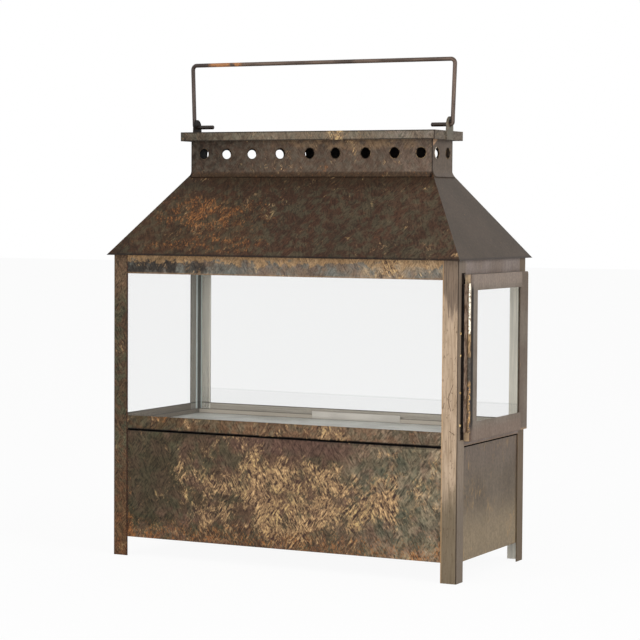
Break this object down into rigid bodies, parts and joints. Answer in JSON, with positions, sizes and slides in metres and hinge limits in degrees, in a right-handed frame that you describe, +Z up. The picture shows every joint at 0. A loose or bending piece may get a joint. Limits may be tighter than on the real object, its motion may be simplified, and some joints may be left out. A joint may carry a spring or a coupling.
{
  "type": "punched tin lantern",
  "caption": "Long glazed sheet-metal candle lantern with a hinged end door, a hipped roof, a vented collar, a flat cap and a swinging bail handle.",
  "frame": {"origin": "middle of the floor under the four feet", "axes": "+X along the long front from left to right, +Y from front to rear, +Z up"},
  "size_m": [0.433, 0.2054, 0.5559],
  "materials": {
    "patina_sheet": "dark brown patina with green-grey patches and feathery golden rub-through",
    "brown_sheet": "satin grey-brown patina, faintly streaked",
    "dark_sheet": "near-black, unlit strip behind the hinge",
    "bare_steel": "bare galvanised sheet, dull",
    "glass": "clear window glass with a slight haze",
    "hinge_brass": "worn brass, bright on the top knuckle, browned below",
    "bail_rod": "dark brown rod with a satin shine",
    "solder": "small golden beads"
  },
  "bodies": {
    "lantern": {"post_front_left": "patina_sheet", "post_front_right": "patina_sheet", "post_rear_right": "patina_sheet", "post_rear_left": "patina_sheet", "sill_rail_front": "patina_sheet", "sill_rail_right": "brown_sheet", "sill_rail_rear": "patina_sheet", "sill_rail_left": "patina_sheet", "head_rail_front": "patina_sheet", "head_rail_right": "brown_sheet", "head_rail_rear": "patina_sheet", "head_rail_left": "patina_sheet", "panel_front": "patina_sheet", "panel_right": "brown_sheet", "panel_rear": "patina_sheet", "panel_left": "patina_sheet", "roof_front": "patina_sheet", "roof_right": "brown_sheet", "roof_rear": "patina_sheet", "roof_left": "patina_sheet", "collar_front": "patina_sheet", "collar_right": "brown_sheet", "collar_rear": "patina_sheet", "collar_left": "patina_sheet", "candle_tray": "bare_steel", "glass_front": "glass", "glass_rear": "glass", "glass_left": "glass", "glass_tabs": "bare_steel", "glass_keeper": "bare_steel", "door_jamb": "dark_sheet", "cap": "patina_sheet", "bail_ear_right": "patina_sheet", "bail_ear_left": "patina_sheet", "hinge_leaf_post": "hinge_brass", "hinge_pin": "hinge_brass", "solder_beads": "solder"},
    "door": {"door_hinge_stile": "brown_sheet", "door_closing_stile": "brown_sheet", "door_top_rail": "brown_sheet", "door_bottom_rail": "brown_sheet", "door_glass": "glass", "door_glass_tabs": "bare_steel", "hinge_leaf_door": "hinge_brass"},
    "bail": {"bail": "bail_rod"}
  },
  "joints": [
    {"name": "door_swing", "type": "hinge", "parent": "lantern", "child": "door", "pos_m": [0.2164, -0.0798, 0.2358], "axis": [0, 0, -1], "range_deg": [0, 180]},
    {"name": "bail_swing", "type": "hinge", "parent": "lantern", "child": "bail", "pos_m": [0, 0, 0.483], "axis": [1, 0, 0], "range_deg": [-147, 147]}
  ]
}
